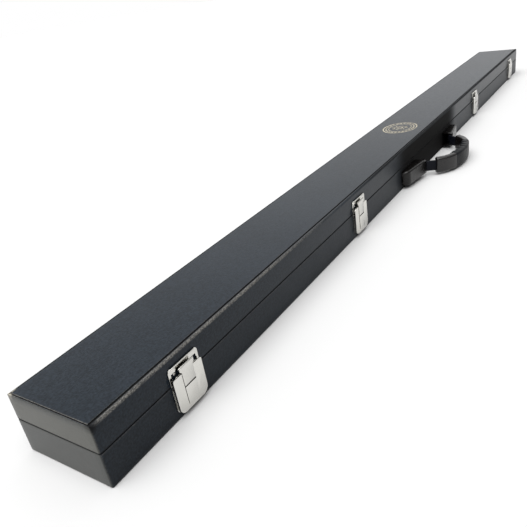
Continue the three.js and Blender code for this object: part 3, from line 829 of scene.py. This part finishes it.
def end_pad(node):
    """A cloth-covered block of foam at the end of the shaft lane: crowned faces and soft edges."""
    low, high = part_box(node)
    middle, half = (low + high) / 2, (high - low) / 2
    squareness = 7
    bm = bmesh.new()
    bmesh.ops.create_cube(bm, size=2)
    bmesh.ops.subdivide_edges(bm, edges=bm.edges, cuts=11, use_grid_fill=True)
    for v in bm.verts:
        scale = sum(abs(c) ** squareness for c in v.co) ** (-1 / squareness)
        pinch = 1 - 0.03 * (v.co.x * v.co.y) ** 2
        v.co = Vector(middle[i] + half[i] * v.co[i] * scale * pinch for i in range(3))
        v.co.z += wobble(v.co, 120, 0.2 * MM) - 0.2 * MM
    made = piece(f"{node}_cloth", bm, "base", "foam", [node], sharp=60)


def inside():
    boards()
    linings()
    lid_pad()
    end_pad("left_end_pad")
    end_pad("right_end_pad")


# ---- Fasteners ------------------------------------------------------------------------------------

RIVET = {"radius": 1.5 * MM, "height": 0.6 * MM, "slotted": False, "look": "chrome", "slot": "chrome"}
STRIKE_SCREW = {"radius": 1.1 * MM, "height": 0.5 * MM, "slotted": True, "look": "steel", "slot": "chrome"}
HINGE_SCREW = {"radius": 2 * MM, "height": 0.55 * MM, "slotted": True, "look": "steel", "slot": "steel"}


def turned(profile, sides, centre, out):
    """A lathe shape: (radius, height) points turned about Y. Its top is to +Y if out is 1, to -Y if -1."""
    rings = []
    for radius, height in profile:
        ring = []
        for i in range(sides):
            a = 2 * math.pi * i / sides
            x, z = centre[0] + radius * math.cos(a), centre[2] + radius * math.sin(a)
            ring.append((x, centre[1] + out * height, z))
        rings.append(ring)
    return skin(rings, capped=True)


def dome_profile(radius, height):
    """(radius, height) points of a head with a straight rim and a domed top."""
    curve = [math.radians(15 * i) for i in range(6)]
    return [(radius, 0)] + [(radius * math.cos(a), height * (0.3 + 0.7 * math.sin(a))) for a in curve]


def fasteners(name, kind, centres, out, body):
    """A set of rivet or screw heads as separate closed solids in one piece."""
    bm = bmesh.new()
    for index, centre in enumerate(centres):
        profile = dome_profile(kind["radius"], kind["height"])
        points = add_faces(bm, *turned(profile, 20, centre, out))
        if kind["slotted"]:
            cut_slot(points, centre, kind, out, math.radians(35 + 50 * index))
    tidy_mesh(bm)
    piece(name, bm, body, kind["look"])


def cut_slot(points, centre, kind, out, turn):
    """Pushes a dome's top points into the head along one line, which leaves a driver slot."""
    across = Vector((-math.sin(turn), 0, math.cos(turn)))
    for point in points:
        offset = point.co - Vector(centre)
        raised = offset.y * out > 0.5 * kind["height"]
        if raised and abs(offset.dot(across)) < 0.22 * kind["radius"]:
            point.co.y -= out * 0.45 * kind["height"]


# ---- Latches --------------------------------------------------------------------------------------

PANEL_HALF_WIDTH = 5.6 * MM  # of the raised strip down the middle of a lever
PANEL_SNUG_HALF_WIDTH = 5.68 * MM  # a pressed part fits closer than the CAD's gap
PLATE_OUT = 0.8 * MM  # from the wall to a latch plate's face
RIVET_OFFSET, RIVET_Z = 5.5 * MM, 12 * MM
STRIKE_SCREW_OFFSET, STRIKE_SCREW_Z = 9.4 * MM, 34.4 * MM


def latch(i):
    """A draw latch: strike plate on the lid, and base plate, lever, hook plate and pin on the base."""
    low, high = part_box(f"latch_{i}_base_plate")
    middle = (low.x + high.x) / 2

    def snug(p):
        offset = p.x - middle
        if abs(abs(offset) - PANEL_HALF_WIDTH) < 0.02 * MM:
            return Vector((middle + math.copysign(PANEL_SNUG_HALF_WIDTH, offset), p.y, p.z))
        return p

    finished(f"latch_{i}_strike_plate", 0.16 * MM)
    finished(f"latch_{i}_base_plate", 0.16 * MM)
    finished(f"latch_{i}_lever", 0.2 * MM, reshape=snug)
    finished(f"latch_{i}_hook_plate", 0.2 * MM, reshape=snug)
    finished(f"latch_{i}_pivot_pin", 0.08 * MM)
    rivets = [(middle + side * RIVET_OFFSET, FRONT_Y - PLATE_OUT, RIVET_Z) for side in (-1, 1)]
    fasteners(f"latch_{i}_base_rivets", RIVET, rivets, -1, "base")
    screws = [(middle + side * STRIKE_SCREW_OFFSET, FRONT_Y, STRIKE_SCREW_Z) for side in (-1, 1)]
    fasteners(f"latch_{i}_strike_screws", STRIKE_SCREW, screws, -1, "lid")


# ---- Hinges ---------------------------------------------------------------------------------------

LEAF_OUT = 1.3 * MM  # from the wall to a hinge leaf's face
LEAF_SCREW_INSET = 5 * MM  # from the leaf's free edge
LEAF_SCREW_SHIFTS = (-22 * MM, 0, 22 * MM)


def hinge(i):
    """A butt hinge: two leaves on one pin, each screwed on through its face."""
    for body in ("base", "lid"):
        node = f"hinge_{i}_{body}_leaf"
        finished(node, 0.25 * MM)
        low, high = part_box(node)
        middle = (low.x + high.x) / 2
        z = low.z + LEAF_SCREW_INSET if body == "base" else high.z - LEAF_SCREW_INSET
        screws = [(middle + shift, HALF_Y + LEAF_OUT, z) for shift in LEAF_SCREW_SHIFTS]
        fasteners(f"hinge_{i}_{body}_screws", HINGE_SCREW, screws, 1, body)
    finished(f"hinge_{i}_pin", 0.2 * MM)


# ---- Handle ---------------------------------------------------------------------------------------

def strap_point(x, out):
    """A point of the strap's middle line, from its x and its distance out in millimetres."""
    return Vector((HANDLE_X + x * MM, FRONT_Y - out * MM, HANDLE_Z - HANDLE_DROOP * out * MM))


def between(a, b, at, start, end):
    """The point on the way from a, which is reached at the start, to b, which is reached at the end."""
    return a.lerp(b, (at - start) / (end - start))


def strap_route(per_span):
    """The strap's middle line from left to right: a centripetal spline through its points."""
    right = [strap_point(x, out) for x, out in STRAP_LINE]
    left = [strap_point(-x, out) for x, out in STRAP_LINE[:-1]]
    knots = left + right[::-1]
    knots = [2 * knots[0] - knots[1]] + knots + [2 * knots[-1] - knots[-2]]
    route = []
    for a, b, c, d in zip(knots, knots[1:], knots[2:], knots[3:]):
        t = [0]
        for p, q in ((a, b), (b, c), (c, d)):
            t.append(t[-1] + math.sqrt((q - p).length))
        for i in range(per_span):
            s = t[1] + (t[2] - t[1]) * i / per_span
            ab = between(a, b, s, t[0], t[1])
            bc = between(b, c, s, t[1], t[2])
            cd = between(c, d, s, t[2], t[3])
            abc = between(ab, bc, s, t[0], t[2])
            bcd = between(bc, cd, s, t[1], t[3])
            route.append(between(abc, bcd, s, t[1], t[2]))
    return route + [knots[-2]]


def route_frames(route):
    """At each point of the route: the point, and the directions across the strap and towards the wall."""
    frames = []
    for i, point in enumerate(route):
        ahead = route[min(i + 1, len(route) - 1)]
        behind = route[max(i - 1, 0)]
        along = (ahead - behind).normalized()
        across = (Vector((0, 0, 1)) - along * along.z).normalized()
        frames.append((point, across, across.cross(along)))
    return frames


def rounded_section(half_width, half_thickness, radius, steps):
    """A rounded rectangle as (across, inward) points."""
    ring = []
    for cw, ct, start in ((1, 1, 0), (-1, 1, 90), (-1, -1, 180), (1, -1, 270)):
        centre = (cw * (half_width - radius), ct * (half_thickness - radius))
        ring += arc(centre, radius, start, start + 90, steps)
    return ring


def placed(outline, frame_here):
    """An outline of (across, inward) points, placed at one frame of a route."""
    point, across, inward = frame_here
    return [point + across * w + inward * t for w, t in outline]


def handle_strap():
    """A flexible strap with fine cross ribs, which bends between the case and the grip."""
    rings = []
    for i, frame_here in enumerate(route_frames(strap_route(16))):
        rib = RIB_DEPTH * (i % 2)
        outline = rounded_section(STRAP_WIDTH / 2, STRAP_THICKNESS / 2 - rib, 0.7 * MM, 3)
        rings.append(placed(outline, frame_here))
    bm = bmesh_of(*skin(rings, capped=True))
    made = piece("handle_strap_band", bm, None, "strap", ["handle_strap"], sharp=50)
    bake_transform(made)


def grip_section(distance_from_end, is_cuff):
    """The grip's outline. It rolls in at the ends. Between the cuffs it is slimmer, with finger ridges."""
    rolled = min(distance_from_end / GRIP_END_ROLL, 1)
    inwards = GRIP_END_ROLL * (1 - math.sqrt(1 - (1 - rolled) ** 2))
    shrink = inwards if is_cuff else inwards + GRIP_WAIST
    half_width, half_thickness = GRIP_WIDTH / 2 - shrink, GRIP_THICKNESS / 2 - shrink
    ridge = 0 if is_cuff else RIDGE_HEIGHT * abs(math.sin(math.pi * distance_from_end / RIDGE_PITCH))
    ring = []
    for w, t in rounded_section(half_width, half_thickness, GRIP_CORNER - shrink / 2, 6):
        raised = ridge * smooth(0.75 + t / half_thickness)
        ring.append((w * (1 + 0.5 * raised / half_width), t + raised))
    return ring


def grip_shell(name, look, frames, to_end, is_cuff, stands_for):
    """One stretch of the grip as a tube with a bore for the strap."""
    gap = 0.3 * MM
    bore = rounded_section(STRAP_WIDTH / 2 + gap, STRAP_THICKNESS / 2 + gap, 0.8 * MM, 6)
    outer = [placed(grip_section(d, is_cuff), here) for here, d in zip(frames, to_end)]
    inner = [placed(bore, here) for here in reversed(frames)]
    bm = bmesh_of(*skin(outer + inner, closed_path=True))
    piece(name, bm, "grip", look, stands_for, sharp=40)


def handle_grip():
    """A moulded sleeve: a grained middle between two smoother cuffs."""
    frames = [f for f in route_frames(strap_route(24)) if abs(f[0].x - HANDLE_X) <= GRIP_HALF_SPAN]
    travelled = [0]
    for (a, _, _), (b, _, _) in zip(frames, frames[1:]):
        travelled.append(travelled[-1] + (b - a).length)
    to_end = [min(s, travelled[-1] - s) for s in travelled]

    def stretch(name, look, start, end, is_cuff, stands_for=()):
        chosen = [i for i, f in enumerate(frames) if start <= f[0].x - HANDLE_X <= end]
        here, distances = [frames[i] for i in chosen], [to_end[i] for i in chosen]
        grip_shell(name, look, here, distances, is_cuff, stands_for)

    lap = CUFF_INNER_X + CUFF_LAP
    stretch("handle_grip_middle", "grip", -lap, lap, False, ["handle_grip"])
    stretch("handle_grip_left_cuff", "cuff", -GRIP_HALF_SPAN, -CUFF_INNER_X, True)
    stretch("handle_grip_right_cuff", "cuff", CUFF_INNER_X, GRIP_HALF_SPAN, True)


def cap_rows():
    """(x, distance of the face from the wall, half height) along a cap, from its mouth to its far end."""
    straight_end = CAP_OUTER_X - CAP_END_RADIUS
    rows = []
    for i in range(9):
        x = CAP_INNER_X + (straight_end - CAP_INNER_X) * i / 8
        rows.append((x, CAP_INNER_OUT - CAP_SLOPE * (x - CAP_INNER_X), CAP_HALF_HEIGHT))
    face = rows[-1][1]
    for x_part, out_part in arc((0, 0), 1, 90, 0, 10)[1:]:
        reach = CAP_END_RADIUS * x_part
        beyond = max(reach - (CAP_END_RADIUS - CAP_END_CORNER), 0) / CAP_END_CORNER
        drawn_in = 0.8 * CAP_END_CORNER * (1 - math.sqrt(max(1 - beyond ** 2, 0)))
        out = CAP_FOOT_OUT + (face - CAP_FOOT_OUT) * out_part
        rows.append((straight_end + reach, out, CAP_HALF_HEIGHT - drawn_in))
    return rows


def cap_line(face, half_height):
    """The (out, z) outline of a cap across its length: up from the wall, over its face and back."""
    roll = min(CAP_ROLL, max(face - CAP_FOOT_OUT - 0.05 * MM, 0.01 * MM))
    z_low, z_high = HANDLE_Z - half_height, HANDLE_Z + half_height
    line = [(CAP_FOOT_OUT, z_low)]
    line += [(out, z) for z, out in arc((z_low + roll, face - roll), roll, 180, 90, 6)]
    line += [(face, HANDLE_Z)]
    line += [(out, z) for z, out in arc((z_high - roll, face - roll), roll, 90, 0, 6)]
    return line + [(CAP_FOOT_OUT, z_high)]


def handle_cap(side, node):
    """A soft-edged moulded cap: a skin over the strap's end, open at its mouth, thickened inwards."""
    rows = []
    for x, face, half_height in cap_rows():
        line = cap_line(face, half_height)
        rows.append([Vector((HANDLE_X + side * x, FRONT_Y - out, z)) for out, z in line])
    count = len(rows[0])
    faces = []
    for i in range(len(rows) - 1):
        for j in range(count - 1):
            here, there = i * count + j, (i + 1) * count + j
            quad = (here, here + 1, there + 1, there)
            faces.append(quad if side < 0 else quad[::-1])
    bm = bmesh.new()
    add_faces(bm, [v for row in rows for v in row], faces)
    bmesh.ops.remove_doubles(bm, verts=bm.verts, dist=WELD)
    made = piece(f"{node}_shell", bm, "base", "cap", [node], sharp=50)
    thicken(made, CAP_WALL)


def thicken(obj, thickness):
    """Gives an open skin its thickness, inwards, and applies it to the mesh."""
    modifier = obj.modifiers.new("thickness", "SOLIDIFY")
    modifier.thickness = thickness
    modifier.offset = -1
    modifier.use_even_offset = True
    modifier.use_rim = True
    evaluated = obj.evaluated_get(bpy.context.evaluated_depsgraph_get())
    mesh = bpy.data.meshes.new_from_object(evaluated)
    obj.modifiers.clear()
    obj.data = mesh


def handle():
    handle_strap()
    handle_grip()
    for name, side in (("left", -1), ("right", 1)):
        handle_cap(side, f"handle_{name}_cap")
        finished(f"handle_{name}_anchor", 0.4 * MM)


# ---- Emblem ---------------------------------------------------------------------------------------

EMBLEM_X = -6 * MM  # the emblem sits a little left of the middle
OUTER_OVAL = (26 * MM, 22 * MM)
DASHED_OVAL = (22.3 * MM, 18.3 * MM)
INNER_OVAL = (18.6 * MM, 14.6 * MM)
DASH_PITCH = 15  # degrees
DASH_LENGTH = 9  # degrees
STAR_RADII = (11 * MM, 6.5 * MM)
STAR_POINTS = 8
RING_RADIUS = 3.4 * MM
FOIL_THICKNESS = 0.04 * MM
FOIL_SUNK = 0.01 * MM  # into the top sheet


def ribbon(bm, line, width, closed=True):
    """A thin flat band of foil along a line of (x, y) points round the emblem's middle."""
    count = len(line)
    low = TOP_Z - FOIL_SUNK
    high = low + FOIL_THICKNESS
    rings = []
    for i, (x, y) in enumerate(line):
        before = line[(i - 1) % count if closed else max(i - 1, 0)]
        after = line[(i + 1) % count if closed else min(i + 1, count - 1)]
        along = Vector((after[0] - before[0], after[1] - before[1])).normalized()
        side = Vector((-along.y, along.x)) * width / 2
        a, b = (EMBLEM_X + x - side.x, y - side.y), (EMBLEM_X + x + side.x, y + side.y)
        rings.append([(*a, low), (*b, low), (*b, high), (*a, high)])
    add_faces(bm, *skin(rings, closed_path=closed, capped=not closed))


def ellipse(radius_x, radius_y, steps=72):
    return [(radius_x * c, radius_y * s) for c, s in arc((0, 0), 1, 0, 360, steps)[:-1]]


def star(outer, inner, points):
    line = []
    for i in range(2 * points):
        radius = outer if i % 2 == 0 else inner
        a = math.pi * i / points
        line.append((radius * math.cos(a), radius * math.sin(a)))
    return line


def emblem():
    """A plain foil mark: two ovals and a ring of dashes, round an eight-pointed star and a ring."""
    bm = bmesh.new()
    ribbon(bm, ellipse(*OUTER_OVAL), 1.4 * MM)
    ribbon(bm, ellipse(*INNER_OVAL), 0.9 * MM)
    for turn in range(0, 360, DASH_PITCH):
        bend = arc((0, 0), 1, turn, turn + DASH_LENGTH, 3)
        dash = [(DASHED_OVAL[0] * c, DASHED_OVAL[1] * s) for c, s in bend]
        ribbon(bm, dash, 2 * MM, closed=False)
    ribbon(bm, star(*STAR_RADII, STAR_POINTS), 1.2 * MM)
    ribbon(bm, ellipse(RING_RADIUS, RING_RADIUS, 24), 1.2 * MM)
    tidy_mesh(bm)
    piece("lid_foil_mark", bm, "lid", "foil")


# ---- Stage ----------------------------------------------------------------------------------------

CAMERA_AT = Vector((-0.7385, -0.2695, 0.2469))
CAMERA_LOOKS_AT = Vector((-0.37313, -0.00069, 0.02375))
CAMERA_ROLL = math.radians(-9.835)
CAMERA_LENS = 37.75  # millimetres, as is the sensor's width
SENSOR_WIDTH = 36
FLOOR_HALF = 30  # metres, so that its edges are out of sight
FLOOR_GAP = 0.1 * MM  # so that the underside and the floor are not in one plane
FLOOR_TONE = 0.48
ROOM_DIRECTION = (-0.15, -0.99, 0)  # the studio is open to a dim room on the front side
ROOM_TONE = 0.1
OVERHEAD = {"direction": (0.4, 0.05, -1), "strength": 4.5, "angle": 70}


def camera():
    data = bpy.data.cameras.new("camera")
    data.lens = CAMERA_LENS
    data.sensor_width = SENSOR_WIDTH
    data.clip_start = 0.01
    made = bpy.data.objects.new("camera", data)
    bpy.context.scene.collection.objects.link(made)
    facing = (CAMERA_LOOKS_AT - CAMERA_AT).to_track_quat("-Z", "Y").to_matrix().to_4x4()
    made.matrix_world = Matrix.Translation(CAMERA_AT) @ facing @ Matrix.Rotation(CAMERA_ROLL, 4, "Z")
    bpy.context.scene.camera = made


def floor():
    look = Look("floor", (FLOOR_TONE,) * 3, 0.9, Specular_IOR_Level=0.0)
    darker, lighter = (FLOOR_TONE - 0.01,) * 3, (FLOOR_TONE + 0.01,) * 3
    look.drive(Base_Color=look.mixed(look.noise(3, 2), darker, lighter))
    mesh = bpy.data.meshes.new("floor")
    s, z = FLOOR_HALF, -FLOOR_GAP
    corners = [(-s, -s, z), (s, -s, z), (s, s, z), (-s, s, z)]
    mesh.from_pydata(corners, [], [(0, 1, 2, 3)])
    mesh.materials.append(look.material)
    made = bpy.data.objects.new("floor", mesh)
    bpy.context.scene.collection.objects.link(made)


def surroundings():
    """White all round and above, but for a dim room on the front side."""
    world = bpy.data.worlds.new("studio")
    bpy.context.scene.world = world
    world.use_nodes = True
    nodes = Nodes(world.node_tree, "Generated")
    dot = nodes.node("ShaderNodeVectorMath", {0: nodes.place, 1: ROOM_DIRECTION}, operation="DOT_PRODUCT")
    sideways = nodes.ranged(dot.outputs["Value"], -0.05, 0.25, 0, 1)
    height = nodes.node("ShaderNodeSeparateXYZ", {"Vector": nodes.place}).outputs["Z"]
    above_horizon = nodes.ranged(height, 0.03, 0.2, 0, 1)
    below_ceiling = nodes.ranged(height, 0.4, 0.75, 1, 0)
    room = nodes.math("MULTIPLY", sideways, nodes.math("MULTIPLY", above_horizon, below_ceiling))
    background = world.node_tree.nodes["Background"]
    tone = nodes.mixed(room, (1, 1, 1), (ROOM_TONE,) * 3)
    world.node_tree.links.new(tone, background.inputs["Color"])


def overhead_light():
    data = bpy.data.lights.new("overhead", "SUN")
    data.energy = OVERHEAD["strength"]
    data.angle = math.radians(OVERHEAD["angle"])
    made = bpy.data.objects.new("overhead", data)
    bpy.context.scene.collection.objects.link(made)
    made.rotation_euler = Vector(OVERHEAD["direction"]).to_track_quat("-Z", "Y").to_euler()


def stage():
    bpy.context.scene.view_settings.view_transform = "Standard"
    camera()
    floor()
    surroundings()
    overhead_light()


coverings()
inside()
for number in range(1, LATCH_COUNT + 1):
    latch(number)
for number in range(1, HINGE_COUNT + 1):
    hinge(number)
handle()
emblem()
stage()
